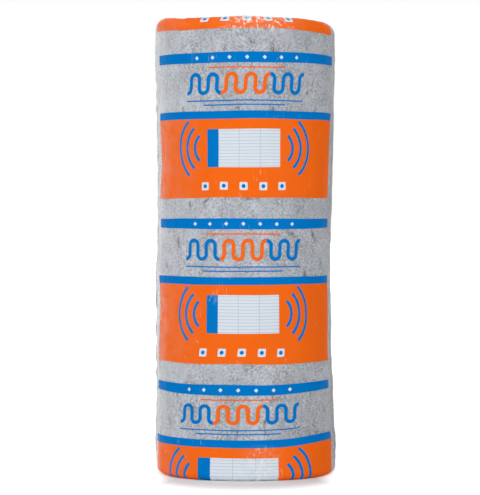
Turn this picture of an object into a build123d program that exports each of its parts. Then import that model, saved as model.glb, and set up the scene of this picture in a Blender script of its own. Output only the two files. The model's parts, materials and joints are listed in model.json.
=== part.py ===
from build123d import *

import math
import os

# Insulation roll standing on its end: a wound blanket of polyester fibre in a clear film sleeve.
# Lengths are in millimetres. The origin is the middle of the underside, and +Z runs up the roll's axis.

# The blanket, as it is cut and as it is wound
blanket_width = 1200.0
blanket_length = 30000.0
end_diameter = 480.0
waist_depth = 9.0
bore_diameter = 60.0

# How round the edges of both ends are, and in how many flats each of them is turned.
# The roll's own weight squares the edge that it stands on.
top_shoulder_radius = 28.0
bottom_shoulder_radius = 14.0
flats_on_shoulder = 3

# The line between one turn and the next, open at the ends where the film leaves them bare
turn_line_width = 2.4
turn_line_depth = 2.0

# The film sleeve, drawn in over both ends and left open round an eye
film_thickness = 0.8
film_clearance = 0.3
eye_diameter = 160.0

cut_overrun = 5.0

# What follows from those sizes
end_radius = end_diameter / 2
waist_radius = end_radius - waist_depth
bore_radius = bore_diameter / 2
eye_radius = eye_diameter / 2
felt_bottom = film_thickness + film_clearance
felt_top = felt_bottom + blanket_width
felt_middle = (felt_bottom + felt_top) / 2
turn_pitch = math.pi * (waist_radius**2 - bore_radius**2) / blanket_length
first_line_radius = bore_radius + turn_pitch
lines_in_eye = int((eye_radius - first_line_radius) / turn_pitch) + 1


def shoulder(centre, radius, start_angle):
    """A quarter round about centre, as flats that run on from start_angle in degrees."""
    turns = [math.radians(start_angle + 90 * flat / flats_on_shoulder) for flat in range(flats_on_shoulder + 1)]
    return Polyline(*[(centre[0] + radius * math.cos(turn), centre[1] + radius * math.sin(turn)) for turn in turns])


def side_outline(offset, inner_radius):
    """Edges that run round the roll, offset out from the felt.

    They start at inner_radius on the underside and end at inner_radius on the top.
    """
    outer_radius = end_radius + offset
    bottom_round = bottom_shoulder_radius + offset
    top_round = top_shoulder_radius + offset
    bottom = felt_bottom - offset
    top = felt_top + offset
    bottom_centre = (outer_radius - bottom_round, bottom + bottom_round)
    top_centre = (outer_radius - top_round, top - top_round)
    side_low = (outer_radius, bottom_centre[1])
    side_high = (outer_radius, top_centre[1])
    return [
        Line((inner_radius, bottom), (bottom_centre[0], bottom)),
        shoulder(bottom_centre, bottom_round, -90),
        ThreePointArc(side_low, (waist_radius + offset, felt_middle), side_high),
        shoulder(top_centre, top_round, 0),
        Line((top_centre[0], top), (inner_radius, top)),
    ]


def turned(edges):
    """The solid that a closed outline of radius and height sweeps round the roll's axis."""
    return revolve(Plane.XZ * make_face(edges), axis=Axis.Z)


def turn_lines(end_height, outward):
    """The spiral line between turns on one end, as half rings about two centres half a pitch apart.

    Each half ring starts where the last one ends, half a pitch further out.
    outward is 1 on the top and -1 on the underside.
    """
    mouth = turn_line_width / 2 * (1 + cut_overrun / turn_line_depth)
    mouth_height = end_height + outward * cut_overrun
    half_rings = []
    for half_turn in range(2 * lines_in_eye):
        side = 1 if half_turn % 2 == 0 else -1
        centre = -side * turn_pitch / 4
        line_at = centre + side * (first_line_radius + half_turn * turn_pitch / 2)
        groove = make_face(
            Polyline(
                (line_at - mouth, mouth_height),
                (line_at + mouth, mouth_height),
                (line_at, end_height - outward * turn_line_depth),
                close=True,
            )
        )
        ring_axis = Axis((centre, 0, 0), (0, 0, 1))
        half_rings.append(revolve(Plane.XZ * groove, axis=ring_axis, revolution_arc=180))
    return half_rings


def make_felt_roll():
    """The wound blanket: a waisted roll with its bore, and the lines of its turns on both ends."""
    bore_wall = Line((bore_radius, felt_top), (bore_radius, felt_bottom))
    roll = turned(side_outline(0, bore_radius) + [bore_wall])
    return roll - turn_lines(felt_top, 1) - turn_lines(felt_bottom, -1)


def make_film_sleeve():
    """The film: one skin over the side, the shoulders and both ends, up to the open eye in each end."""
    inside = film_clearance
    outside = film_clearance + film_thickness
    return turned(
        side_outline(outside, eye_radius)
        + side_outline(inside, eye_radius)
        + [
            Line((eye_radius, felt_bottom - outside), (eye_radius, felt_bottom - inside)),
            Line((eye_radius, felt_top + inside), (eye_radius, felt_top + outside)),
        ]
    )


os.makedirs("parts", exist_ok=True)
export_step(make_felt_roll(), "parts/felt_roll.step")
export_step(make_film_sleeve(), "parts/film_sleeve.step")
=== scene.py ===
import json
import math
from collections import namedtuple

import bpy
import numpy as np
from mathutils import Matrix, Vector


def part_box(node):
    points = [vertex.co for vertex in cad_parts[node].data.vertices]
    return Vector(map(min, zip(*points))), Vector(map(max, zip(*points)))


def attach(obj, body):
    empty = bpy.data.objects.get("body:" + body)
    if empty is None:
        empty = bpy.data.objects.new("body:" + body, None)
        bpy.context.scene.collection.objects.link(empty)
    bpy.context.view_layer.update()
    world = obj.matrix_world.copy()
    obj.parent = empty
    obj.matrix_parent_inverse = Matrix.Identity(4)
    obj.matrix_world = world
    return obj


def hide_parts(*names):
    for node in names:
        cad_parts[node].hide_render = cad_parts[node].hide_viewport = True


# The looks of an insulation roll: a wound grey fibre blanket in a printed clear film sleeve.
# Lengths are in metres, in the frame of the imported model. Angles are in radians from the front, towards -Y.
# Two heights, angles or runs in brackets are the start and the end of a smooth step.

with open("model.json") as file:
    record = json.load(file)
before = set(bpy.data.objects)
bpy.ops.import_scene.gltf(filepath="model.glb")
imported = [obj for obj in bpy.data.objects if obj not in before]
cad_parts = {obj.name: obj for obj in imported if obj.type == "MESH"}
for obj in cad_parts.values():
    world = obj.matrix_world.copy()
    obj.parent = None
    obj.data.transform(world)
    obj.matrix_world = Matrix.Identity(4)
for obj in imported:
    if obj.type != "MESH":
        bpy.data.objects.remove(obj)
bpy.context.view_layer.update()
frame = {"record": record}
FELT_LOW, FELT_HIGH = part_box("felt_roll")
CORE_BORE = next(mount for mount in frame["record"]["mounts"] if mount["name"] == "core_bore")
MM_IN_METRE = 1000

# The roll
END_RADIUS = FELT_HIGH.x
FELT_BOTTOM = FELT_LOW.z
FELT_TOP = FELT_HIGH.z
BORE_RADIUS = CORE_BORE["dims"]["r_mm"] / MM_IN_METRE
WAIST_DEPTH = 0.009
TOP_SHOULDER = 0.028
BOTTOM_SHOULDER = 0.014
EYE_RADIUS = 0.080
TURN_PITCH = 0.0055
SIDE_LOW = FELT_BOTTOM + BOTTOM_SHOULDER
SIDE_HIGH = FELT_TOP - TOP_SHOULDER
FELT_MIDDLE = (FELT_BOTTOM + FELT_TOP) / 2

# How far the standing roll leans to the right at some shares of its height
BEND_HEIGHT_SHARES = (0.0, 0.1, 0.35, 0.5, 0.7, 0.87, 1.0)
BEND_SHIFTS = (0.0040, 0.0035, -0.0020, -0.0020, 0.0035, 0.0035, 0.0005)
BEND_STEPS = 61
BEND_BLUR_STEPS = 13

# How its top sinks on the right and rises on the left, and how its foot spreads to a squarish form
TOP_SINK = 0.002
TOP_RISE = 0.012
TOP_TILT_FROM = 0.15
TOP_TILT_TO = 0.23
TOP_TILT_REACH = 0.12
FOOT_SPREAD = 0.009
FOOT_HEIGHT = 0.17

# Soft lumps, in the felt and in the film on it
WAVE_COUNT = 28
LUMP_HEIGHT = 0.0012
LUMP_LENGTHS = (0.09, 0.3)
LUMP_SEED = 3

# Mesh columns and rows. Rows on the side stand closer together towards its ends, by this share.
FELT_COLUMNS = 256
FILM_COLUMNS = 440
CLOSER_SHARE = 0.6

# The felt's ends: how far each turn sinks at its edges, unevenly, and from one turn to the next
FELT_SEED = 11
ROWS_IN_TURN = 6
EDGE_SINK = 0.0032
UNEVEN_SINK = 0.0012
UNEVEN_LENGTHS = (0.02, 0.09)
STEP_SINK = 0.0015
STEP_SHUFFLE = 12.9898
LEVEL_TOLERANCE = 1e-6

# The film. As it lies flat it is a tube in two layers.
FILM_SEED = 7
FILM_GAP = 0.0008
FILM_HALF_ROUND = math.pi * (END_RADIUS - WAIST_DEPTH / 2)
FLOOR_CLEARANCE = 0.0003

# Its side, which ends a little beyond the shoulders' edges, with long shallow waves
SIDE_BEYOND = 0.02
SIDE_WITHIN = 0.06
SIDE_WAVE_HEIGHT = 0.0005
SIDE_WAVE_LENGTHS = (0.03, 0.12)
SIDE_WAVE_STRETCH = (1, 1, 0.25)

# Where it is slack and crumpled round the top and the bottom: angle, width of angle and strength
TOP_CRUMPLES = ((0.15, 0.38, 1.0), (1.9, 0.5, 0.8), (-2.3, 0.6, 0.9), (3.0, 0.4, 0.8))
BOTTOM_CRUMPLES = ((0.14, 0.2, 0.62), (-1.42, 0.1, 0.6), (2.6, 0.5, 0.7), (-2.5, 0.4, 0.7))
LEAST_SLACK = 0.15
TOP_CRUMPLE_HEIGHTS = (SIDE_HIGH - 0.040, SIDE_HIGH)
BOTTOM_CRUMPLE_HEIGHTS = (SIDE_LOW + 0.095, SIDE_LOW + 0.060)
RIDGE_LENGTHS = (0.014, 0.034)
RIDGE_HEIGHT = 0.0003
CRUMPLED_RIDGE_HEIGHT = 0.0015

# The folds that gather it towards the eyes. A run is 0 at the shoulder and 1 at the rim.
TOP_FOLDS = 64
BOTTOM_FOLDS = 52
FOLD_PLACE_SPREAD = 0.4
FOLD_START_RUNS = (-0.1, 0.05, 0.25, 0.45)
FOLD_START_SPREAD = 0.15
FOLD_GROWTH_RUN = 0.3
FOLD_DRIFT = 0.09
FOLD_WIDTHS = (0.0035, 0.0075)
FOLD_HEIGHTS = (0.0015, 0.0048)
ONSET_RUNS = (-0.2, 0.2)
LOW_FOLD_SHARE = 0.3
FULL_FOLD_RUNS = (0.25, 0.6)
PRESSED_SHARE = 0.93
PRESSED_RUNS = (0.15, 0.35)

# The film's rim round the upper eye, which curls and waves
RIM_RUNS = (0.9, 1.0)
RIM_WAVE_LENGTHS = (0.03, 0.09)
RIM_SWAY = 0.005
RIM_LIFT = 0.004
RIM_LIFT_WAVE = 0.003

# The creases down its left and right sides, where the tube was folded flat, the painted sheen on the left one
# and the painted shade along the right one
LEFT, RIGHT = -1, 1
FIN_HEIGHTS = {LEFT: 0.0042, RIGHT: 0.0020}
FIN_HALF_WIDTH = 0.008
FIN_SHARPNESS = 1.5
FIN_MEAN_SHARE = 0.75
FIN_WAVE_SHARE = 0.28
FIN_WAVE_LENGTHS = (0.024, 0.12)
FIN_BULGE_SHARE = 0.3
FIN_BULGE_HEIGHT = 0.10
FIN_BULGE_REACH = 0.03
EDGE_SHADE_REACH = 0.032
EDGE_SHADE_SPREAD = 0.3
EDGE_SHADE_SPREAD_HEIGHTS = (0.30, 0.06)

# The print, as distances along the film. A repeat starts at the upper edge of its blue band.
REPEAT = 0.4303
FIRST_BAND_TOP = 1.1090
BAND_WIDTH = 0.0275
BAND_TAPER = 0.05
BORDER_FROM = 0.1510
PANEL_FROM = 0.1712
PANEL_TO = 0.3768
PRINT_HALF_WIDTH = 0.299
ORANGE = (0.88, 0.138, 0.009)
BLUE = (0.0, 0.178, 0.55)
WHITE = (0.66, 0.725, 0.79)
RULED_GREY = (0.42, 0.46, 0.54)

# How the film sits askew: it twists, is drawn tight over the upper shoulder, rises at the lower right,
# dips on both sides of the top, is drawn out towards both ends and tucked in on the right
PRINT_TWIST_LENGTHS = (0.1, 0.24, 0.36, 0.65, 0.94, 1.09)
PRINT_TWISTS = (-0.022, -0.018, -0.004, -0.003, -0.007, 0.004)
TOP_STRETCH = 0.008
BOTTOM_SLACK = 0.008
BOTTOM_SLACK_HEIGHTS = (0.23, 0.09)
FRONT_ANGLES = (2.8, 1.7)
RIGHT_RISE = 0.008
RISE_HEIGHTS = (0.36, 0.10)
RISE_ANGLES = (0.15, 1.1)
TOP_DIP = 0.006
DIP_HEIGHTS = (1.12, 1.18)
DIP_ANGLES = (0.4, 1.2)
END_SPREAD = 0.11
TOP_SPREAD_HEIGHTS = (1.13, 1.19)
LOW_SPREAD_SHARE = 0.3
LOW_SPREAD_HEIGHTS = (0.45, 0.2)
FOOT_SPREAD_HEIGHTS = (0.15, 0.05)
RIGHT_TUCK = 0.035
TUCK_FROM_ANGLES = (0.9, 1.25)
TUCK_TO_ANGLES = (1.85, 1.5)
TOP_TUCK_HEIGHTS = (1.13, 1.165)
FOOT_TUCK_SHARE = 0.5
FOOT_TUCK_HEIGHTS = (0.10, 0.03)
PRINT_WOBBLE = 0.0008
PRINT_WOBBLE_LENGTHS = (0.12, 0.4)
PRINT_WOBBLE_SEED = 19


# Shape helpers

def smooth(low, high, value):
    """0 below low, 1 above high, and an even rise between them."""
    share = np.clip((value - low) / (high - low), 0, 1)
    return share * share * (3 - 2 * share)


def waves(points, rng, lengths, stretch=(1, 1, 1)):
    """Smooth noise of about -1 to 1: plane waves in random directions, between two lengths.

    A stretch below 1 draws the waves out along that axis.
    """
    directions = rng.normal(size=(WAVE_COUNT, 3))
    directions /= np.linalg.norm(directions, axis=1, keepdims=True)
    shortest, longest = lengths
    spans = np.exp(rng.uniform(math.log(shortest), math.log(longest), WAVE_COUNT))
    vectors = directions * (2 * math.pi / spans)[:, None] * np.array(stretch)
    phases = rng.uniform(0, 2 * math.pi, WAVE_COUNT)
    return np.cos(points @ vectors.T + phases).sum(axis=1) / math.sqrt(WAVE_COUNT)


def turned_from(angles, centre):
    """How far the angles are from centre, the short way round."""
    return (angles - centre + math.pi) % (2 * math.pi) - math.pi


def side_radius(heights):
    """The felt's radius on its waisted side."""
    above = (heights - FELT_MIDDLE) / (SIDE_HIGH - FELT_MIDDLE)
    below = (FELT_MIDDLE - heights) / (FELT_MIDDLE - SIDE_LOW)
    return END_RADIUS - WAIST_DEPTH * (1 - np.maximum(above, below) ** 2)


def side_heights(count):
    """Heights up the side, closer together towards both ends."""
    steps = np.linspace(-1, 1, count)
    closer = CLOSER_SHARE * np.sin(steps * math.pi / 2) + (1 - CLOSER_SHARE) * steps
    return SIDE_LOW + (SIDE_HIGH - SIDE_LOW) * (closer + 1) / 2


def outline(offset, bottom_radii, shoulder_steps, side_steps, top_radii):
    """Radii and heights from the underside over the side to the top, offset out from the felt.

    shoulder_steps are for the lower and the upper shoulder.
    """
    low_turn, high_turn = (np.linspace(0, math.pi / 2, steps + 2)[1:-1] for steps in shoulder_steps)
    low_round = BOTTOM_SHOULDER + offset
    high_round = TOP_SHOULDER + offset
    heights = side_heights(side_steps)
    radii = [
        np.asarray(bottom_radii),
        END_RADIUS - BOTTOM_SHOULDER + low_round * np.sin(low_turn),
        side_radius(heights) + offset,
        END_RADIUS - TOP_SHOULDER + high_round * np.cos(high_turn),
        np.asarray(top_radii),
    ]
    levels = [
        np.full(len(bottom_radii), FELT_BOTTOM - offset),
        SIDE_LOW - low_round * np.cos(low_turn),
        heights,
        SIDE_HIGH + high_round * np.sin(high_turn),
        np.full(len(top_radii), FELT_TOP + offset),
    ]
    return np.concatenate(radii), np.concatenate(levels)


def outward(radii, heights):
    """Unit vectors in radius and height that point out of an outline."""
    along_radius = np.gradient(radii)
    along_height = np.gradient(heights)
    size = np.hypot(along_radius, along_height)
    return along_height / size, -along_radius / size


def around(radii, angles, heights):
    """Points at those radii, angles and heights."""
    return np.stack([radii * np.sin(angles), -radii * np.cos(angles), heights], axis=-1)


def settled(points):
    """The points as the standing roll has sagged.

    It bends slightly, its foot is squarish, and its top sinks on the right and rises on the left.
    """
    shares = points[..., 2] / FELT_TOP
    moved = points.copy()
    steps = np.linspace(0, 1, BEND_STEPS)
    bend = np.interp(steps, BEND_HEIGHT_SHARES, BEND_SHIFTS)
    blur = np.full(BEND_BLUR_STEPS, 1 / BEND_BLUR_STEPS)
    bend = np.convolve(np.pad(bend, BEND_BLUR_STEPS // 2, mode="edge"), blur, mode="valid")
    moved[..., 0] += np.interp(shares, steps, bend)
    angles = np.arctan2(points[..., 0], -points[..., 1])
    spread = np.sin(2 * angles) ** 2 * smooth(FOOT_HEIGHT, 0, points[..., 2])
    moved[..., :2] += points[..., :2] * (FOOT_SPREAD / END_RADIUS * spread)[..., None]
    near_top = smooth(FELT_TOP - TOP_TILT_REACH, FELT_TOP, points[..., 2])
    moved[..., 2] -= TOP_SINK * near_top * smooth(TOP_TILT_FROM, TOP_TILT_TO, points[..., 0])
    moved[..., 2] += TOP_RISE * near_top * smooth(-TOP_TILT_FROM, -TOP_TILT_TO, points[..., 0])
    return moved


def lumps(points):
    """How far the wound felt stands out or in from its plain form."""
    return LUMP_HEIGHT * waves(points, np.random.default_rng(LUMP_SEED), LUMP_LENGTHS)


def ring_mesh(name, points, closed_rows, film_map=None, marks=None):
    """A mesh from points in rows and columns, joined round the columns.

    film_map gives the place on the film of each row and of each column up to the seam from both sides.
    marks are values for the material, one for each point.
    """
    rows, columns = points.shape[:2]
    row_steps = np.arange(rows if closed_rows else rows - 1)
    row, column = np.meshgrid(row_steps, np.arange(columns), indexing="ij")
    above = (row + 1) % rows
    beside = (column + 1) % columns
    corners = [(row, column), (row, beside), (above, beside), (above, column)]
    quads = np.stack([at_row * columns + at_column for at_row, at_column in corners], axis=-1).reshape(-1, 4)
    mesh = bpy.data.meshes.new(name)
    mesh.from_pydata(points.reshape(-1, 3).tolist(), [], quads.tolist())
    mesh.polygons.foreach_set("use_smooth", np.ones(len(quads), dtype=bool))
    if film_map is not None:
        corner_rows = np.stack([row, row, above, above], axis=-1).ravel()
        corner_columns = np.stack([column, column + 1, column + 1, column], axis=-1).ravel()
        layer = mesh.uv_layers.new(name="film")
        layer.data.foreach_set("uv", film_map[corner_rows, corner_columns].ravel())
    for mark, values in (marks or {}).items():
        mesh.attributes.new(mark, "FLOAT", "POINT").data.foreach_set("value", values.ravel())
    piece = bpy.data.objects.new(name, mesh)
    bpy.context.scene.collection.objects.link(piece)
    return piece


# The felt

def felt_outline():
    """Radii and heights round the felt's section, from the bore's lower edge round to the bore's wall."""
    rows_on_end = 16
    shoulder_rows = (8, 10)
    side_rows = 64
    bore_rows = 22
    eye_radii = np.arange(BORE_RADIUS, EYE_RADIUS + TURN_PITCH, TURN_PITCH / ROWS_IN_TURN)
    bottom_radii, top_radii = (
        np.concatenate([eye_radii, np.linspace(eye_radii[-1], END_RADIUS - shoulder, rows_on_end)[1:]])
        for shoulder in (BOTTOM_SHOULDER, TOP_SHOULDER)
    )
    radii, heights = outline(0, bottom_radii, shoulder_rows, side_rows, top_radii[::-1])
    bore_heights = np.linspace(FELT_TOP, FELT_BOTTOM, bore_rows)[1:-1]
    radii = np.concatenate([radii, np.full(len(bore_heights), BORE_RADIUS)])
    return radii, np.concatenate([heights, bore_heights])


def make_felt():
    """The wound blanket with its bore, its turns on both ends and a few loose lumps."""
    rng = np.random.default_rng(FELT_SEED)
    radii, heights = felt_outline()
    angles = np.linspace(-math.pi, math.pi, FELT_COLUMNS, endpoint=False)
    points = around(radii[:, None], angles[None, :], heights[:, None] + 0 * angles[None, :])
    flat = points.reshape(-1, 3)
    radius = np.hypot(flat[:, 0], flat[:, 1])
    angle = np.arctan2(flat[:, 0], -flat[:, 1])

    # Each turn stands a little proud in its middle and sinks where it meets the next
    turn = (radius - BORE_RADIUS) / TURN_PITCH - angle / (2 * math.pi)
    in_turn = np.abs(2 * (turn % 1) - 1)
    unevenness = waves(flat, rng, UNEVEN_LENGTHS)
    sink = EDGE_SINK * in_turn**3 + UNEVEN_SINK * np.abs(unevenness)
    sink += STEP_SINK * np.abs(np.sin(np.floor(turn) * STEP_SHUFFLE))
    on_top = flat[:, 2] > FELT_TOP - LEVEL_TOLERANCE
    on_bottom = flat[:, 2] < FELT_BOTTOM + LEVEL_TOLERANCE
    flat[on_top, 2] -= sink[on_top]
    flat[on_bottom, 2] += sink[on_bottom]

    swell = lumps(flat) * smooth(BORE_RADIUS, END_RADIUS, radius)
    flat[:, 0] += swell * np.sin(angle)
    flat[:, 1] -= swell * np.cos(angle)
    return ring_mesh("felt_roll_blanket", settled(points), closed_rows=True)


# The film

def fold_heights(angles, run, radius, rng, count):
    """Heights of the folds that gather the film in from the shoulder to the rim."""
    total = np.zeros_like(angles)
    for index in range(count):
        place = index + rng.uniform(-FOLD_PLACE_SPREAD, FOLD_PLACE_SPREAD)
        centre = -math.pi + 2 * math.pi * place / count
        start = rng.choice(FOLD_START_RUNS) + rng.uniform(0, FOLD_START_SPREAD)
        drift = rng.normal(0, FOLD_DRIFT)
        width = rng.uniform(*FOLD_WIDTHS)
        height = rng.uniform(*FOLD_HEIGHTS)
        off = turned_from(angles - centre, drift * run)
        grown = smooth(start, start + FOLD_GROWTH_RUN, run)
        total = np.maximum(total, height * grown * np.exp(-(off * radius / width) ** 2))
    return total


def slack(angles, zones):
    """How slack the film is at those angles: most in the middle of a zone, by its strength."""
    most = np.zeros_like(angles)
    for centre, width, strength in zones:
        most = np.maximum(most, strength * np.exp(-(turned_from(angles, centre) / width) ** 2))
    return LEAST_SLACK + (1 - LEAST_SLACK) * most


def place_along(lengths, heights, angles, points):
    """The distance along the film from the floor, in rows and columns."""
    middle = np.argmin(np.abs(heights - FELT_MIDDLE))
    along = lengths - lengths[middle] + heights[middle]
    along = along - TOP_STRETCH * smooth(FIRST_BAND_TOP, SIDE_HIGH, heights)
    along = along - BOTTOM_SLACK * smooth(*BOTTOM_SLACK_HEIGHTS, heights)
    in_front = smooth(*FRONT_ANGLES, np.abs(angles))
    rise = np.outer(smooth(*RISE_HEIGHTS, heights), in_front * smooth(*RISE_ANGLES, angles))
    dip = np.outer(smooth(*DIP_HEIGHTS, heights), in_front * smooth(*DIP_ANGLES, np.abs(angles)))
    wobble_rng = np.random.default_rng(PRINT_WOBBLE_SEED)
    wobble = waves(points.reshape(-1, 3), wobble_rng, PRINT_WOBBLE_LENGTHS).reshape(points.shape[:2])
    askew = along[:, None] - RIGHT_RISE * rise + TOP_DIP * dip + PRINT_WOBBLE * wobble
    return along, np.concatenate([askew, askew[:, :1]], axis=1)


def place_on_film(lengths, heights, angles, points):
    """The film's map in metres: how far round it from the front, and how far along it from the floor."""
    along, film_along = place_along(lengths, heights, angles, points)
    twist = np.interp(along, PRINT_TWIST_LENGTHS, PRINT_TWISTS)
    across = np.linspace(-FILM_HALF_ROUND, FILM_HALF_ROUND, len(angles) + 1)
    at_top = smooth(*TOP_SPREAD_HEIGHTS, heights)
    low_down = LOW_SPREAD_SHARE * smooth(*LOW_SPREAD_HEIGHTS, heights)
    at_foot = LOW_SPREAD_SHARE * smooth(*FOOT_SPREAD_HEIGHTS, heights)
    spread = 1 + END_SPREAD * (at_top + low_down + at_foot)
    round_angles = np.append(angles, math.pi)
    on_right = smooth(*TUCK_FROM_ANGLES, round_angles) * smooth(*TUCK_TO_ANGLES, round_angles)
    tucked = smooth(*TOP_TUCK_HEIGHTS, heights) + FOOT_TUCK_SHARE * smooth(*FOOT_TUCK_HEIGHTS, heights)
    tuck = RIGHT_TUCK * np.outer(tucked, on_right)
    film_across = (across[None, :] - twist[:, None]) / spread[:, None] + tuck
    return np.stack([film_across, film_along], axis=-1)


def film_outline():
    """Radii and heights along the film, from the rim of the lower eye to the rim of the upper one."""
    bottom_rows = 18
    top_rows = 42
    shoulder_rows = (12, 18)
    side_rows = 132
    bottom_radii = np.linspace(EYE_RADIUS, END_RADIUS - BOTTOM_SHOULDER, bottom_rows)
    top_radii = np.linspace(END_RADIUS - TOP_SHOULDER, EYE_RADIUS, top_rows)
    return outline(FILM_GAP, bottom_radii, shoulder_rows, side_rows, top_radii)


def make_film():
    """The film sleeve: tight on the side, crumpled over the shoulders and gathered towards both eyes."""
    rng = np.random.default_rng(FILM_SEED)
    radii, heights = film_outline()
    lengths = np.concatenate([[0], np.cumsum(np.hypot(np.diff(radii), np.diff(heights)))])
    out_radius, out_height = outward(radii, heights)
    angles = np.linspace(-math.pi, math.pi, FILM_COLUMNS, endpoint=False)
    rows = len(radii)

    def on_grid(row_values):
        """One value for each point, from one for each row."""
        return np.repeat(row_values, FILM_COLUMNS)

    angle = np.tile(angles, rows)
    radius = on_grid(radii)
    height = on_grid(heights)
    points = around(radius, angle, height)
    above_foot = smooth(SIDE_LOW - SIDE_BEYOND, SIDE_LOW + SIDE_WITHIN, height)
    below_top = smooth(SIDE_HIGH + SIDE_BEYOND, SIDE_HIGH - SIDE_WITHIN, height)
    side = above_foot * below_top

    # Long shallow waves on the side, crumples round the shoulders
    raised = lumps(points)
    side_waves = waves(points, rng, SIDE_WAVE_LENGTHS, SIDE_WAVE_STRETCH)
    raised += SIDE_WAVE_HEIGHT * side * np.clip(1 + side_waves, 0, None)
    near_top = smooth(*TOP_CRUMPLE_HEIGHTS, height)
    near_bottom = smooth(*BOTTOM_CRUMPLE_HEIGHTS, height)
    crumple = near_top * slack(angle, TOP_CRUMPLES) + near_bottom * slack(angle, BOTTOM_CRUMPLES)
    ridges = np.clip(1 - np.abs(waves(points, rng, RIDGE_LENGTHS)), 0, None)
    ridge_height = RIDGE_HEIGHT + CRUMPLED_RIDGE_HEIGHT * crumple
    raised += ridge_height * ridges * np.maximum(near_top, near_bottom)

    # Folds towards the eyes, pressed flat under the roll
    top_start = lengths[np.argmax(heights > SIDE_HIGH)]
    top_run = on_grid((lengths - top_start) / (lengths[-1] - top_start))
    top_share = LOW_FOLD_SHARE + (1 - LOW_FOLD_SHARE) * smooth(*FULL_FOLD_RUNS, top_run)
    top_growth = smooth(*ONSET_RUNS, top_run) * top_share
    raised += top_growth * fold_heights(angle, top_run, radius, rng, TOP_FOLDS)
    bottom_start = lengths[np.argmax(heights > SIDE_LOW)]
    bottom_run = on_grid(1 - lengths / bottom_start)
    pressed = 1 - PRESSED_SHARE * smooth(*PRESSED_RUNS, bottom_run)
    bottom_folds = fold_heights(angle, bottom_run, radius, rng, BOTTOM_FOLDS)
    raised += pressed * bottom_folds * smooth(*ONSET_RUNS, bottom_run)

    # The creases down both sides
    off_crease = {}
    fins = {}
    bulge = 1 + FIN_BULGE_SHARE * np.exp(-((height - FIN_BULGE_HEIGHT) / FIN_BULGE_REACH) ** 2)
    for sign, fin_height in FIN_HEIGHTS.items():
        off_crease[sign] = np.abs(angle - sign * math.pi / 2) * END_RADIUS
        wobble = FIN_MEAN_SHARE + FIN_WAVE_SHARE * waves(points, rng, FIN_WAVE_LENGTHS, stretch=(0, 0, 1))
        fins[sign] = side * np.clip(1 - off_crease[sign] / FIN_HALF_WIDTH, 0, None) ** FIN_SHARPNESS
        raised += fin_height * fins[sign] * wobble * bulge
    # Painted shade along the right crease, reaching wider low down
    shade_reach = EDGE_SHADE_REACH * (1 + EDGE_SHADE_SPREAD * smooth(*EDGE_SHADE_SPREAD_HEIGHTS, height))
    shade = side * np.exp(-(off_crease[RIGHT] / shade_reach) ** 2)

    rim = smooth(*RIM_RUNS, top_run)
    rim_points = np.stack([np.cos(angle), np.sin(angle), 0 * angle], axis=1) * EYE_RADIUS
    rim_wave = waves(rim_points, rng, RIM_WAVE_LENGTHS)
    radius = radius + raised * on_grid(out_radius) - rim * RIM_SWAY * rim_wave
    height = height + raised * on_grid(out_height) + rim * (RIM_LIFT + RIM_LIFT_WAVE * rim_wave)
    height = np.maximum(height, FLOOR_CLEARANCE)
    points = settled(around(radius, angle, height)).reshape(rows, FILM_COLUMNS, 3)
    film_map = place_on_film(lengths, heights, angles, points)
    # The material's marks: how crumpled it is, and where the painted sheen on the left crease and the painted
    # shade along the right one go
    marks = {"crumple": np.clip(crumple, 0, 1), "painted_fin_sheen": fins[LEFT], "edge_shade": shade}
    return ring_mesh("film_sleeve_wrap", points, closed_rows=False, film_map=film_map, marks=marks)


# Material helpers

Noise = namedtuple("Noise", "scale detail roughness distortion", defaults=(2, 0.5, 0))
MIX_COLOUR_INPUTS = (6, 7)
MIX_COLOUR_OUTPUT = 2


def new_material(name):
    """A material with an empty node tree and its output."""
    material = bpy.data.materials.new(name)
    material.use_nodes = True
    material.node_tree.nodes.clear()
    output = material.node_tree.nodes.new("ShaderNodeOutputMaterial")
    return material, material.node_tree, output


def node(tree, kind, inputs=None, **settings):
    """A node with those settings, and with a link or a value on each of those inputs."""
    made = tree.nodes.new(kind)
    for key, value in settings.items():
        setattr(made, key, value)
    for key, value in (inputs or {}).items():
        if isinstance(value, bpy.types.NodeSocket):
            tree.links.new(value, made.inputs[key])
        else:
            made.inputs[key].default_value = value
    return made


def calc(tree, operation, *values):
    """The result of a Math node."""
    return node(tree, "ShaderNodeMath", dict(enumerate(values)), operation=operation).outputs[0]


def scaled(tree, value, share):
    """The value times share."""
    return calc(tree, "MULTIPLY", value, share)


def off_middle(tree, value):
    """How far a noise value is from the middle of its range."""
    return calc(tree, "ABSOLUTE", calc(tree, "SUBTRACT", value, 0.5))


def vector(tree, operation, *values):
    """The node of a Vector Math operation."""
    return node(tree, "ShaderNodeVectorMath", dict(enumerate(values)), operation=operation)


def stretched(tree, where, stretch):
    """The place times a stretch, where less than 1 draws a texture out."""
    return vector(tree, "MULTIPLY", where, stretch).outputs[0]


def length_of(tree, first, second):
    """The length of the slope over two sides at right angles."""
    second_squared = calc(tree, "MULTIPLY", second, second)
    return calc(tree, "SQRT", calc(tree, "MULTIPLY_ADD", first, first, second_squared))


def any_of(tree, masks):
    """Where at least one mask is 1."""
    result = masks[0]
    for mask in masks[1:]:
        result = calc(tree, "MAXIMUM", result, mask)
    return result


def all_of(tree, *masks):
    """Where every mask is 1."""
    result = masks[0]
    for mask in masks[1:]:
        result = calc(tree, "MULTIPLY", result, mask)
    return result


def between(tree, value, low, high):
    """1 where value lies between low and high."""
    return all_of(tree, calc(tree, "GREATER_THAN", value, low), calc(tree, "LESS_THAN", value, high))


def mixed(tree, share, first, second):
    """The second colour over the first by share."""
    made = node(tree, "ShaderNodeMix", data_type="RGBA")
    sockets = (made.inputs["Factor"], *(made.inputs[index] for index in MIX_COLOUR_INPUTS))
    for socket, value in zip(sockets, (share, first, second)):
        if isinstance(value, bpy.types.NodeSocket):
            tree.links.new(value, socket)
        else:
            socket.default_value = value if isinstance(value, float) else (*value, 1)
    return made.outputs[MIX_COLOUR_OUTPUT]


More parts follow.
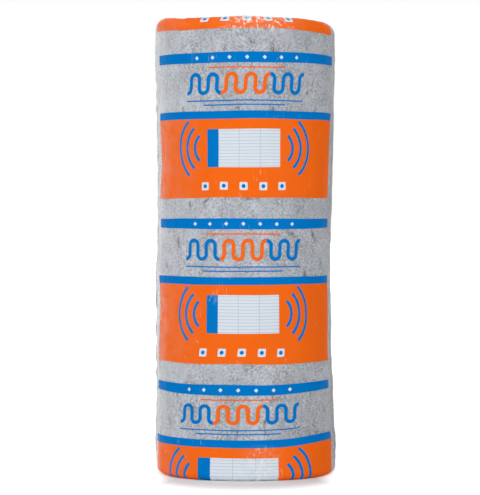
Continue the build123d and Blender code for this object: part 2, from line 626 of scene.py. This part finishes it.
def noise(tree, where, kind, output="Fac"):
    """A noise texture, with its scale in features to the metre."""
    settings = {"Vector": where, "Scale": kind.scale, "Detail": kind.detail,
                "Roughness": kind.roughness, "Distortion": kind.distortion}
    return node(tree, "ShaderNodeTexNoise", settings).outputs[output]


def ramp(tree, value, stops):
    """A colour ramp with stops of place and colour."""
    made = node(tree, "ShaderNodeValToRGB", {"Fac": value})
    elements = made.color_ramp.elements
    while len(elements) < len(stops):
        elements.new(0.5)
    for element, (place, colour) in zip(elements, stops):
        element.position = place
        element.color = (*colour, 1)
    return made.outputs["Color"]


def ranged(tree, value, low, high, to_low=0.0, to_high=1.0, steps="LINEAR"):
    """The value brought from one range to another, and kept inside it."""
    settings = {"Value": value, "From Min": low, "From Max": high, "To Min": to_low, "To Max": to_high}
    return node(tree, "ShaderNodeMapRange", settings, interpolation_type=steps).outputs["Result"]


# The felt's look

FELT_CLOUD = Noise(13, 3, 0.55)
FELT_MOTTLE = Noise(80, 5, 0.66, 0.6)
FELT_GRAIN = Noise(190, 2, 0.6)
FELT_PATCH = Noise(20)
FELT_TINTS = (Noise(32), Noise(170))
FELT_TINT_SHARE = 0.07

# The felt's tone: the shares that make it up, the grain's strength in patches, and the colours of the tones
CLOUD_SHARE = 0.60
MOTTLE_SHARE = 0.55
TONE_SHIFT = -0.075
PATCH_RANGE = (0.38, 0.62)
PATCH_STRENGTHS = (0.8, 2.0)
FELT_TONES = (
    (0.22, (0.29, 0.305, 0.33)),
    (0.5, (0.60, 0.634, 0.695)),
    (0.76, (0.83, 0.855, 0.90)),
)

# Fibres are thin lines in noise: two sets are pale and the last is dark. They wander by the warp's length.
PALE_FIBRES = ((30, (1, 1, 9)), (34, (7, 7, 1)))
DARK_FIBRES = (26, (5, 1, 6))
FIBRE_DETAIL = (3, 0.6, 0.4)
FIBRE_WIDTH = 0.022
FIBRE_WARP = Noise(45)
FIBRE_WARP_LENGTH = 0.02
PALE_FIBRE_SHARE = 0.25
PALE_FIBRE_COLOUR = (0.86, 0.88, 0.93)
DARK_FIBRE_SHARE = 0.30
DARK_FIBRE_COLOUR = (0.30, 0.30, 0.33)

# Dark smudges in clusters, and fine dark flecks
SMUDGE = Noise(36, 3, 0.6, 0.6)
SMUDGE_STRETCH = (1, 1, 0.5)
SMUDGE_RANGE = (0.59, 0.69, 0.0, 0.9)
CLUSTER = Noise(10)
CLUSTER_RANGE = (0.44, 0.56)
DARK_FLECK = Noise(150, 2, 0.5, 0.5)
DARK_FLECK_RANGE = (0.70, 0.78, 0.0, 0.35)
DARK_COLOUR = (0.16, 0.16, 0.18)

# The felt's relief, and how rough it is from the low to the high grain
FELT_MOTTLE_RELIEF = 0.8
FELT_GRAIN_RELIEF = 0.35
FELT_FIBRE_RELIEF = 0.25
FELT_RELIEF_STRENGTH = 0.55
FELT_RELIEF_HEIGHT = 0.003
FELT_ROUGH_RANGE = (0.3, 0.7, 0.82, 0.98)


def fibre_mask(tree, where, scale, stretch):
    """1 along fibres that run across the larger of the stretches."""
    warp = vector(tree, "SCALE", noise(tree, where, FIBRE_WARP, "Color"))
    warp.inputs["Scale"].default_value = FIBRE_WARP_LENGTH
    warped = vector(tree, "ADD", where, warp.outputs[0]).outputs[0]
    line = noise(tree, stretched(tree, warped, stretch), Noise(scale, *FIBRE_DETAIL))
    return ranged(tree, off_middle(tree, line), 0.0, FIBRE_WIDTH, 1.0, 0.0)


def felt_material():
    """Grey recycled fibre: mottled, with fine fibres, dark flecks and a trace of other colours."""
    material, tree, output = new_material("grey_fibre_felt")
    where = node(tree, "ShaderNodeTexCoord").outputs["Object"]

    mottle = noise(tree, where, FELT_MOTTLE)
    grain = noise(tree, where, FELT_GRAIN)
    patch = ranged(tree, noise(tree, where, FELT_PATCH), *PATCH_RANGE, *PATCH_STRENGTHS)
    tone = calc(tree, "MULTIPLY_ADD", mottle, MOTTLE_SHARE, TONE_SHIFT)
    tone = calc(tree, "MULTIPLY_ADD", noise(tree, where, FELT_CLOUD), CLOUD_SHARE, tone)
    tone = calc(tree, "MULTIPLY_ADD", calc(tree, "SUBTRACT", grain, 0.5), patch, tone)
    colour = ramp(tree, tone, FELT_TONES)
    for tint in FELT_TINTS:
        colour = mixed(tree, FELT_TINT_SHARE, colour, noise(tree, where, tint, "Color"))

    pale_fibres = any_of(tree, [fibre_mask(tree, where, *kind) for kind in PALE_FIBRES])
    dark_fibres = fibre_mask(tree, where, *DARK_FIBRES)
    colour = mixed(tree, scaled(tree, pale_fibres, PALE_FIBRE_SHARE), colour, PALE_FIBRE_COLOUR)
    colour = mixed(tree, scaled(tree, dark_fibres, DARK_FIBRE_SHARE), colour, DARK_FIBRE_COLOUR)

    smudge = ranged(tree, noise(tree, stretched(tree, where, SMUDGE_STRETCH), SMUDGE), *SMUDGE_RANGE)
    cluster = ranged(tree, noise(tree, where, CLUSTER), *CLUSTER_RANGE)
    fleck = ranged(tree, noise(tree, where, DARK_FLECK), *DARK_FLECK_RANGE)
    colour = mixed(tree, any_of(tree, [all_of(tree, smudge, cluster), fleck]), colour, DARK_COLOUR)

    relief = scaled(tree, grain, FELT_GRAIN_RELIEF)
    relief = calc(tree, "MULTIPLY_ADD", mottle, FELT_MOTTLE_RELIEF, relief)
    relief = calc(tree, "MULTIPLY_ADD", pale_fibres, FELT_FIBRE_RELIEF, relief)
    bump = node(tree, "ShaderNodeBump", {
        "Height": relief, "Strength": FELT_RELIEF_STRENGTH, "Distance": FELT_RELIEF_HEIGHT,
    })
    surface = node(tree, "ShaderNodeBsdfPrincipled", {
        "Base Color": colour, "Roughness": ranged(tree, grain, *FELT_ROUGH_RANGE), "Normal": bump.outputs[0],
        "Specular IOR Level": 0.15, "Sheen Weight": 0.15, "Sheen Roughness": 0.6,
    })
    tree.links.new(surface.outputs[0], output.inputs["Surface"])
    return material


# The print. Each motif gives pairs of mask and colour, from its lowest layer to its highest.

FilmSpot = namedtuple("FilmSpot", "across down off_front place")
WHITE_PANEL_AT = 0.2475


def film_axes(tree):
    """The place on the film, and its distances round the film and along it."""
    film = node(tree, "ShaderNodeUVMap", uv_map="film").outputs[0]
    parts = node(tree, "ShaderNodeSeparateXYZ", {0: film})
    return film, parts.outputs[0], parts.outputs[1]


def box_mask(tree, place, centre, half_size, corner):
    """1 inside a rectangle with rounded corners."""
    reach = (half_size[0] - corner, half_size[1] - corner, 0)
    off = vector(tree, "ABSOLUTE", vector(tree, "SUBTRACT", place, (*centre, 0)).outputs[0]).outputs[0]
    beyond = vector(tree, "MAXIMUM", vector(tree, "SUBTRACT", off, reach).outputs[0], (0, 0, 0)).outputs[0]
    return calc(tree, "LESS_THAN", vector(tree, "LENGTH", beyond).outputs["Value"], corner)


def plain_fields(tree, spot, printed):
    """Orange panels, and blue bands and borders. The bands taper a little towards their ends."""
    to_back = calc(tree, "SUBTRACT", FILM_HALF_ROUND, spot.off_front)
    off_face = calc(tree, "MINIMUM", spot.off_front, to_back)
    off_face_squared = calc(tree, "MULTIPLY", off_face, off_face)
    band_edge = calc(tree, "MULTIPLY_ADD", off_face_squared, -BAND_TAPER, BAND_WIDTH)
    band = all_of(tree, calc(tree, "LESS_THAN", spot.down, band_edge), printed)
    border = all_of(tree, between(tree, spot.down, BORDER_FROM, PANEL_FROM), printed)
    panel = all_of(tree, between(tree, spot.down, PANEL_FROM, PANEL_TO), printed)
    return [(panel, ORANGE), (any_of(tree, [band, border]), BLUE)]


def lozenges(tree, spot):
    """White lozenges along the middle of the blue band."""
    pitch = 0.045
    row_reach = 3.5 * pitch
    half = 0.0055
    from_lozenge = calc(tree, "PINGPONG", spot.across, pitch / 2)
    off_band = calc(tree, "ABSOLUTE", calc(tree, "SUBTRACT", spot.down, BAND_WIDTH / 2))
    lozenge = calc(tree, "LESS_THAN", calc(tree, "ADD", from_lozenge, off_band), half)
    return [(all_of(tree, lozenge, calc(tree, "LESS_THAN", spot.off_front, row_reach)), WHITE)]


def serpentine(tree, spot):
    """A serpentine, the drawing sign for an insulating layer: blue with an orange middle."""
    bend_radius = 0.0125
    straight_half = 0.0115
    stroke = 0.0095
    middle_height = 0.0805
    line_reach = 13 * bend_radius
    orange_reach = 5 * bend_radius
    pitch = 2 * bend_radius
    cell = calc(tree, "FLOOR", calc(tree, "DIVIDE", spot.across, pitch))
    in_cell = calc(tree, "SUBTRACT", calc(tree, "FLOORED_MODULO", spot.across, pitch), bend_radius)
    off_centre = calc(tree, "ABSOLUTE", in_cell)
    upward = calc(tree, "MULTIPLY_ADD", calc(tree, "FLOORED_MODULO", cell, 2.0), 2.0, -1.0)
    lifted = calc(tree, "MULTIPLY", calc(tree, "SUBTRACT", spot.down, middle_height), upward)
    open_end = calc(tree, "LESS_THAN", lifted, 0.0)
    to_neighbour = calc(tree, "SUBTRACT", pitch, calc(tree, "MULTIPLY", off_centre, 2.0))
    from_centre = calc(tree, "MULTIPLY_ADD", open_end, to_neighbour, off_centre)
    past_straight = calc(tree, "SUBTRACT", calc(tree, "ABSOLUTE", lifted), straight_half)
    past_straight = calc(tree, "MAXIMUM", past_straight, 0.0)
    ring = calc(tree, "SUBTRACT", length_of(tree, from_centre, past_straight), bend_radius)
    on_line = calc(tree, "LESS_THAN", calc(tree, "ABSOLUTE", ring), stroke / 2)
    whole = all_of(tree, on_line, calc(tree, "LESS_THAN", spot.off_front, line_reach))
    middle = all_of(tree, whole, calc(tree, "LESS_THAN", spot.off_front, orange_reach))
    return [(whole, BLUE), (middle, ORANGE)]


def thin_rules(tree, spot):
    """Thin lines above and below the serpentine: half length, place and colour."""
    half_height = 0.0016
    corner = half_height / 2
    rules = ((0.10, 0.0395, ORANGE), (0.1625, 0.1245, BLUE), (0.11, 0.1355, BLUE))
    return [
        (box_mask(tree, spot.place, (0, rule_at), (half_length, half_height), corner), colour)
        for half_length, rule_at, colour in rules
    ]


def ruled_panel(tree, spot):
    """A white panel with a blue first column and fine ruled lines."""
    half_size = (0.098, 0.050)
    first_column = -0.066
    column_lines_at = (-0.012, 0.043)
    line_pitch = 0.0084
    line_width = 0.0011
    panel = box_mask(tree, spot.place, (0, WHITE_PANEL_AT), half_size, line_width)
    rows = calc(tree, "LESS_THAN", calc(tree, "FLOORED_MODULO", spot.down, line_pitch), line_width)
    columns = [between(tree, spot.across, at, at + line_width) for at in column_lines_at]
    return [
        (panel, WHITE),
        (all_of(tree, panel, any_of(tree, [rows, *columns])), RULED_GREY),
        (all_of(tree, panel, calc(tree, "LESS_THAN", spot.across, first_column)), BLUE),
    ]


def spreading_arcs(tree, spot):
    """Blue arcs that spread from the white panel to both sides."""
    radii = (0.045, 0.070, 0.095)
    stroke_half = 0.0042
    centre = 0.090
    arcs_from = 0.102
    steepest = 1.1
    off_panel = calc(tree, "SUBTRACT", spot.off_front, centre)
    off_level = calc(tree, "SUBTRACT", spot.down, WHITE_PANEL_AT)
    from_centre = length_of(tree, off_panel, off_level)
    rings = []
    for radius in radii:
        off_ring = calc(tree, "ABSOLUTE", calc(tree, "SUBTRACT", from_centre, radius))
        rings.append(calc(tree, "LESS_THAN", off_ring, stroke_half))
    steepness = calc(tree, "DIVIDE", calc(tree, "ABSOLUTE", off_level), off_panel)
    beside_panel = calc(tree, "GREATER_THAN", spot.off_front, arcs_from)
    in_spread = all_of(tree, calc(tree, "LESS_THAN", steepness, steepest), beside_panel)
    return [(all_of(tree, any_of(tree, rings), in_spread), BLUE)]


def dotted_tiles(tree, spot):
    """White tiles with blue dots in a row below the white panel."""
    pitch = 0.052
    row_reach = 2.5 * pitch
    row_at = 0.347
    tile_half = 0.0105
    tile_corner = 0.003
    dot_radius = 0.0052
    in_row = calc(tree, "FLOORED_MODULO", calc(tree, "ADD", spot.across, row_reach), pitch)
    tile_off = calc(tree, "SUBTRACT", in_row, pitch / 2)
    place = node(tree, "ShaderNodeCombineXYZ", {0: tile_off, 1: spot.down}).outputs[0]
    in_reach = calc(tree, "LESS_THAN", spot.off_front, row_reach)
    tiles = box_mask(tree, place, (0, row_at), (tile_half, tile_half), tile_corner)
    dots = box_mask(tree, place, (0, row_at), (dot_radius, dot_radius), dot_radius)
    return [(all_of(tree, tiles, in_reach), WHITE), (all_of(tree, dots, in_reach), BLUE)]


def print_layers(tree):
    """The ink on the film, from the lowest layer to the highest, with the motifs on the front alone."""
    _, across, along = film_axes(tree)
    down = calc(tree, "FLOORED_MODULO", calc(tree, "SUBTRACT", FIRST_BAND_TOP, along), REPEAT)
    off_front = calc(tree, "ABSOLUTE", across)
    place = node(tree, "ShaderNodeCombineXYZ", {0: across, 1: down}).outputs[0]
    spot = FilmSpot(across, down, off_front, place)
    on_front = calc(tree, "LESS_THAN", off_front, PRINT_HALF_WIDTH)
    on_back = calc(tree, "GREATER_THAN", off_front, FILM_HALF_ROUND - PRINT_HALF_WIDTH)
    layers = plain_fields(tree, spot, any_of(tree, [on_front, on_back]))
    for motif in (lozenges, serpentine, thin_rules, ruled_panel, spreading_arcs, dotted_tiles):
        layers += [(all_of(tree, mask, on_front), colour) for mask, colour in motif(tree, spot)]
    return layers


# The film's look

# Painted sheen: ink paler towards the left end of the print, and paler film round the left crease, both in
# blotches.
# Each range is of noise or of a distance round the film, and then of strength.
LEFT_SHEEN_COLOUR = (0.75, 0.75, 0.75)
LEFT_SHEEN_BLOTCH = Noise(24, 3, 0.6)
LEFT_SHEEN_BLOTCH_RANGE = (0.35, 0.65, 0.4, 1.6)
LEFT_SHEEN_AT_END = (-0.23, -PRINT_HALF_WIDTH, 0.0, 0.14)
LEFT_SHEEN_FURTHER_IN = (-0.10, -0.23, 0.0, 0.045)
LEFT_CREASE_SHEEN_BLOTCH = Noise(18, 3, 0.6)
LEFT_CREASE_SHEEN_BLOTCH_RANGE = (0.35, 0.65, 0.5, 1.5)
LEFT_CREASE_SHEEN_RANGE = (0.26, 0.10, 0.0, 0.20)

# The film's own haze, and how much the ink hides
HAZE_COLOUR = (0.85, 0.87, 0.90)
FILM_CLOUD = Noise(30, 3, 0.6)
HAZE_RANGE = (0.35, 0.75, 0.035, 0.10)
INK_COVER = 0.995

# Painted sheen on the left crease, and painted shade along the right one, which is also seen through dimmer
# and without gloss, and gets darker low down
FIN_SHEEN_SHARE = 0.3
FIN_SHEEN_COLOUR = (0.90, 0.91, 0.92)
SHADE_HEIGHTS = (0.30, 0.08)
SHADE_STRENGTHS = (0.65, 0.85)
SHADE_COLOUR = (0.18, 0.18, 0.19)
LOW_SHADE_COLOUR = (0.14, 0.13, 0.14)
SEE_THROUGH_SHADE_POWER = 0.06
SEE_THROUGH_SHADE_LEVEL = 0.80
MATT_POWER = 0.12

# Fine upright creases here and there, pale along their lines as painted highlights, with a little relief
FINE_CREASE = Noise(62)
FINE_CREASE_STRETCH = (1, 1, 0.12)
FINE_CREASE_WIDTH = 0.012
FINE_CREASE_PATCH = Noise(24)
FINE_CREASE_PATCH_RANGE = (0.60, 0.68)
CREASE_HIGHLIGHT_SHARE = 0.22
CREASE_HIGHLIGHT_COVER = 0.3
CREASE_HIGHLIGHT_COLOUR = (0.90, 0.90, 0.90)
FINE_CREASE_RELIEF = 0.0003

# Painted glints: short pale flecks where it is crumpled
FLECK = Noise(150, 1)
GLINT_STRETCH = (1, 1, 0.6)
GLINT_RANGE = (0.56, 0.64)
GLINT_CRUMPLE_RANGE = (0.45, 0.85)
GLINT_SHARE = 0.75
GLINT_COVER = 0.5
GLINT_COLOUR = (0.92, 0.88, 0.84)

# The film's relief: long waves, ridges where it is crumpled, as scale and height, and facets that tilt
LONG_WAVE = Noise(38, 3, 0.55, 0.4)
LONG_WAVE_STRETCH = (1, 1, 0.3)
LONG_WAVE_HEIGHT = 0.0012
FINE_RIDGES = ((34, 0.0040), (75, 0.0016), (150, 0.0006))
FINE_RIDGE_DETAIL = (0, 0.5, 0.4)
LEAST_RIDGE_SHARE = 0.06
FACET_SCALE = 115.0
FACET_TILT = 0.4

# Its gloss: rougher in clouds, smoother and with more of a coat where it is crumpled
ROUGH_RANGE = (0.3, 0.7, 0.23, 0.33)
CRUMPLE_SMOOTHING = -0.10
COAT_RANGE = (0.2, 0.8)


def painted_left_sheen(tree):
    """How much painted sheen pales the ink: most at the left end of the print."""
    film, across, _ = film_axes(tree)
    blotch = ranged(tree, noise(tree, film, LEFT_SHEEN_BLOTCH), *LEFT_SHEEN_BLOTCH_RANGE)
    near_end = ranged(tree, across, *LEFT_SHEEN_AT_END)
    further_in = ranged(tree, across, *LEFT_SHEEN_FURTHER_IN)
    on_front = calc(tree, "GREATER_THAN", across, -FILM_HALF_ROUND / 2)
    return all_of(tree, calc(tree, "ADD", near_end, further_in), blotch, on_front)


def left_crease_sheen(tree):
    """How much paler the film is round its left crease, as painted sheen."""
    film, across, _ = film_axes(tree)
    off_crease = calc(tree, "ABSOLUTE", calc(tree, "ADD", across, FILM_HALF_ROUND / 2))
    blotch = ranged(tree, noise(tree, film, LEFT_CREASE_SHEEN_BLOTCH), *LEFT_CREASE_SHEEN_BLOTCH_RANGE)
    return all_of(tree, ranged(tree, off_crease, *LEFT_CREASE_SHEEN_RANGE), blotch)


def creases_with_highlight_mask(tree, where):
    """1 along the fine upright creases."""
    off_line = off_middle(tree, noise(tree, stretched(tree, where, FINE_CREASE_STRETCH), FINE_CREASE))
    here = ranged(tree, noise(tree, where, FINE_CREASE_PATCH), *FINE_CREASE_PATCH_RANGE)
    return all_of(tree, ranged(tree, off_line, 0.0, FINE_CREASE_WIDTH, 1.0, 0.0), here)


def glint_mask(tree, where, crumple):
    """1 in the painted glints, short pale flecks."""
    fleck = ranged(tree, noise(tree, stretched(tree, where, GLINT_STRETCH), FLECK), *GLINT_RANGE)
    return all_of(tree, fleck, ranged(tree, crumple, *GLINT_CRUMPLE_RANGE))


def film_normal(tree, where, crumple, creases_with_highlight):
    """The film's normal, with its relief in metres and its tilted facets."""
    relief = scaled(tree, noise(tree, stretched(tree, where, LONG_WAVE_STRETCH), LONG_WAVE), LONG_WAVE_HEIGHT)
    share = calc(tree, "MULTIPLY_ADD", crumple, 1 - LEAST_RIDGE_SHARE, LEAST_RIDGE_SHARE)
    for scale, depth in FINE_RIDGES:
        ridge = off_middle(tree, noise(tree, where, Noise(scale, *FINE_RIDGE_DETAIL)))
        relief = calc(tree, "MULTIPLY_ADD", all_of(tree, ridge, share), depth, relief)
    relief = calc(tree, "MULTIPLY_ADD", creases_with_highlight, FINE_CREASE_RELIEF, relief)
    facet = node(tree, "ShaderNodeTexVoronoi", {"Vector": where, "Scale": FACET_SCALE}).outputs["Color"]
    tilt = vector(tree, "SCALE", vector(tree, "SUBTRACT", facet, (0.5, 0.5, 0.5)).outputs[0])
    tree.links.new(scaled(tree, crumple, FACET_TILT), tilt.inputs["Scale"])
    tilted = vector(tree, "ADD", node(tree, "ShaderNodeNewGeometry").outputs["Normal"], tilt.outputs[0])
    facing = vector(tree, "NORMALIZE", tilted.outputs[0]).outputs[0]
    relief_settings = {"Height": relief, "Strength": 1.0, "Distance": 1.0, "Normal": facing}
    return node(tree, "ShaderNodeBump", relief_settings).outputs[0]


def film_material():
    """Clear glossy film with opaque inks, a little haze, and creases that are sharper where it is slack."""
    material, tree, output = new_material("printed_clear_film")
    where = node(tree, "ShaderNodeTexCoord").outputs["Object"]
    height = node(tree, "ShaderNodeSeparateXYZ", {0: where}).outputs[2]
    crumple, left_crease, right_crease = (
        node(tree, "ShaderNodeAttribute", attribute_name=name).outputs["Fac"]
        for name in ("crumple", "painted_fin_sheen", "edge_shade")
    )
    # Painted sheen on the left crease, and painted shade along the right one, darker low down
    painted_fin_sheen = scaled(tree, left_crease, FIN_SHEEN_SHARE)
    edge_shade = scaled(tree, right_crease, ranged(tree, height, *SHADE_HEIGHTS, *SHADE_STRENGTHS))
    shade_colour = mixed(tree, ranged(tree, height, *SHADE_HEIGHTS), SHADE_COLOUR, LOW_SHADE_COLOUR)
    creases_with_highlight = creases_with_highlight_mask(tree, where)
    flecks = glint_mask(tree, where, crumple)

    layers = print_layers(tree)
    panel = layers[0][0]
    inked = any_of(tree, [mask for mask, _ in layers])
    # Over the ink: painted sheen towards the left end and on the left crease, painted shade along the right
    # crease, and painted highlights on fine creases and where it is crumpled
    layers += [
        (all_of(tree, panel, painted_left_sheen(tree)), LEFT_SHEEN_COLOUR),
        (painted_fin_sheen, FIN_SHEEN_COLOUR),
        (edge_shade, shade_colour),
        (scaled(tree, creases_with_highlight, CREASE_HIGHLIGHT_SHARE), CREASE_HIGHLIGHT_COLOUR),
        (scaled(tree, flecks, GLINT_SHARE), GLINT_COLOUR),
    ]
    colour = HAZE_COLOUR
    for mask, layer_colour in layers:
        colour = mixed(tree, mask, colour, layer_colour)

    cloud = noise(tree, where, FILM_CLOUD)
    # The film's own haze, and the painted sheen round the left crease
    haze = calc(tree, "ADD", ranged(tree, cloud, *HAZE_RANGE), left_crease_sheen(tree))
    painted_cover = [painted_fin_sheen, edge_shade, scaled(tree, creases_with_highlight, CREASE_HIGHLIGHT_COVER), scaled(tree, flecks, GLINT_COVER)]
    cover = any_of(tree, [haze, *painted_cover, scaled(tree, inked, INK_COVER)])

    normal = film_normal(tree, where, crumple, creases_with_highlight)
    rough = calc(tree, "MULTIPLY_ADD", crumple, CRUMPLE_SMOOTHING, ranged(tree, cloud, *ROUGH_RANGE))
    ink = node(tree, "ShaderNodeBsdfPrincipled", {
        "Base Color": colour, "Roughness": rough, "Normal": normal, "IOR": 1.45, "Specular IOR Level": 0.005,
        "Coat Weight": ranged(tree, crumple, *COAT_RANGE), "Coat Normal": normal,
        "Coat Roughness": 0.04, "Coat IOR": 1.5,
    })
    # Along the right crease's painted shade the film is seen through dimmer and loses its gloss
    shaded_see_through = ranged(tree, calc(tree, "POWER", right_crease, SEE_THROUGH_SHADE_POWER), 0.0, 1.0, 1.0, SEE_THROUGH_SHADE_LEVEL)
    clear = node(tree, "ShaderNodeBsdfTransparent", {"Color": shaded_see_through})
    shine = node(tree, "ShaderNodeBsdfGlossy", {"Roughness": rough, "Normal": normal})
    matt_edge = ranged(tree, calc(tree, "POWER", right_crease, MATT_POWER), 0.0, 1.0, 1.0, 0.0)
    fresnel = node(tree, "ShaderNodeFresnel", {"IOR": 1.22, "Normal": normal}).outputs[0]
    gloss = all_of(tree, fresnel, matt_edge)
    glossy = node(tree, "ShaderNodeMixShader", {0: gloss, 1: clear.outputs[0], 2: shine.outputs[0]})
    whole = node(tree, "ShaderNodeMixShader", {0: cover, 1: glossy.outputs[0], 2: ink.outputs[0]})
    tree.links.new(whole.outputs[0], output.inputs["Surface"])
    return material


# The stage

SEEN_RAYS = ("Is Camera Ray", "Is Glossy Ray", "Is Transmission Ray")

# The floor: its grey, and what is added where it is seen. Beyond a painted shadow by the roll and far off it
# is white.
FLOOR_REACH = 60.0
FLOOR_GREY = 0.76
FLOOR_SEEN_GREY = 0.03
PAINTED_SHADOW_AHEAD = (0.06, 0.27)
PAINTED_SHADOW_ASIDE = (0.18, 0.245)
NEAR_GLOW = 0.6
FAR_GLOW_RANGE = (0.3, 2.2, 0.0, 1.0)

# The world's light: the side it comes from, and its strength from the far side to that one
WORLD_LIGHT_FROM = (-0.95, -0.25, -0.1)
WORLD_RANGE = (-1.0, 1.0, 0.36, 0.82)

# The lamps: name, place, height on the roll's axis that it is turned to, size and power in watts
LAMPS = (
    ("key", (-2.9, -4.5, 0.8), FELT_TOP / 2, 1.5, 72),
    ("fill", (3.6, -3.1, 0.9), FELT_TOP / 2, 2.0, 46),
    ("glint", (0.62, -2.1, 5.0), FELT_TOP, 1.0, 50),
    ("rim", (-2.6, 2.2, 1.1), FELT_TOP / 2, 1.7, 12),
)

# The camera, and pixels in the photograph's frame
PHOTO_WIDTH = 480
PHOTO_HEIGHT = 495
FOCAL_PIXELS = 2040
AXIS_PIXEL = 244.5
HORIZON_PIXEL = 222
CAMERA_DISTANCE = 5.5
EYE_HEIGHT = 0.670
SENSOR_WIDTH_MM = 36.0


def seen_mask(tree):
    """1 where a surface is seen, also in gloss and through film."""
    rays = node(tree, "ShaderNodeLightPath")
    return any_of(tree, [rays.outputs[name] for name in SEEN_RAYS])


def floor_material():
    """Pale grey that is white to the camera, apart from a painted shadow by the roll, where its real shading
    shows.
    """
    material, tree, output = new_material("pale_floor")
    seen = seen_mask(tree)
    grey = calc(tree, "MULTIPLY_ADD", seen, FLOOR_SEEN_GREY, FLOOR_GREY)
    matt = node(tree, "ShaderNodeBsdfDiffuse", {"Color": grey})
    where = node(tree, "ShaderNodeTexCoord").outputs["Object"]
    parts = node(tree, "ShaderNodeSeparateXYZ", {0: where})
    # A painted shadow: no glow ahead of and behind the roll, within about its width
    aside = calc(tree, "ABSOLUTE", parts.outputs[0])
    chord = calc(tree, "SUBTRACT", END_RADIUS**2, calc(tree, "MULTIPLY", aside, aside))
    chord = calc(tree, "SQRT", calc(tree, "MAXIMUM", chord, 0.0))
    ahead = calc(tree, "SUBTRACT", calc(tree, "ABSOLUTE", parts.outputs[1]), chord)
    beyond_painted_shadow_ahead = ranged(tree, ahead, *PAINTED_SHADOW_AHEAD, steps="SMOOTHSTEP")
    beyond_painted_shadow_aside = ranged(tree, aside, *PAINTED_SHADOW_ASIDE, steps="SMOOTHSTEP")
    near = scaled(tree, any_of(tree, [beyond_painted_shadow_ahead, beyond_painted_shadow_aside]), NEAR_GLOW)
    far = ranged(tree, vector(tree, "LENGTH", where).outputs["Value"], *FAR_GLOW_RANGE)
    level = any_of(tree, [near, far])
    glow = node(tree, "ShaderNodeEmission", {"Strength": all_of(tree, seen, level)})
    both = node(tree, "ShaderNodeAddShader", {0: matt.outputs[0], 1: glow.outputs[0]})
    tree.links.new(both.outputs[0], output.inputs["Surface"])
    return material


def make_floor():
    """A wide floor that keeps the roll's shadow, with a painted shadow by the roll."""
    mesh = bpy.data.meshes.new("floor")
    corners = [(x * FLOOR_REACH, y * FLOOR_REACH, 0) for x, y in ((-1, -1), (1, -1), (1, 1), (-1, 1))]
    mesh.from_pydata(corners, [], [(0, 1, 2, 3)])
    mesh.materials.append(floor_material())
    floor = bpy.data.objects.new("floor", mesh)
    bpy.context.scene.collection.objects.link(floor)


def make_world():
    """Pale light from all round, stronger from the left, and a white background."""
    world = bpy.data.worlds.new("studio")
    bpy.context.scene.world = world
    world.use_nodes = True
    tree = world.node_tree
    tree.nodes.clear()
    direction = node(tree, "ShaderNodeTexCoord").outputs["Generated"]
    towards = vector(tree, "DOT_PRODUCT", direction, WORLD_LIGHT_FROM).outputs["Value"]
    strength = any_of(tree, [ranged(tree, towards, *WORLD_RANGE), seen_mask(tree)])
    background = node(tree, "ShaderNodeBackground", {"Color": (1, 1, 1, 1), "Strength": strength})
    output = node(tree, "ShaderNodeOutputWorld")
    tree.links.new(background.outputs[0], output.inputs["Surface"])


def add_lamp(name, place, aim_height, size, power):
    """A soft square lamp at place, turned to that height on the roll's axis."""
    lamp = bpy.data.lights.new(name, "AREA")
    lamp.shape = "SQUARE"
    lamp.size = size
    lamp.energy = power
    stand = bpy.data.objects.new(name, lamp)
    stand.location = place
    across, ahead, up = np.array((0, 0, aim_height)) - np.array(place)
    pitch = math.atan2(math.hypot(across, ahead), -up)
    turn = math.atan2(ahead, across) - math.pi / 2
    stand.rotation_euler = (pitch, 0, turn)
    bpy.context.scene.collection.objects.link(stand)


def make_camera():
    """The photograph's view: from a little above the roll's middle, with a long lens."""
    camera = bpy.data.cameras.new("camera")
    camera.sensor_width = SENSOR_WIDTH_MM
    camera.lens = FOCAL_PIXELS / max(PHOTO_WIDTH, PHOTO_HEIGHT) * camera.sensor_width
    viewer = bpy.data.objects.new("camera", camera)
    across = (PHOTO_WIDTH / 2 - AXIS_PIXEL) * CAMERA_DISTANCE / FOCAL_PIXELS
    viewer.location = (across, -CAMERA_DISTANCE, EYE_HEIGHT)
    dip = math.atan((PHOTO_HEIGHT / 2 - HORIZON_PIXEL) / FOCAL_PIXELS)
    viewer.rotation_euler = (math.pi / 2 - dip, 0, 0)
    bpy.context.scene.collection.objects.link(viewer)
    bpy.context.scene.camera = viewer


felt = make_felt()
felt.data.materials.append(felt_material())
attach(felt, "root")
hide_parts("felt_roll")

film = make_film()
film.data.materials.append(film_material())
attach(film, "root")
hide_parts("film_sleeve")

make_floor()
make_world()
for lamp_settings in LAMPS:
    add_lamp(*lamp_settings)
make_camera()
bpy.context.scene.view_settings.view_transform = "Standard"
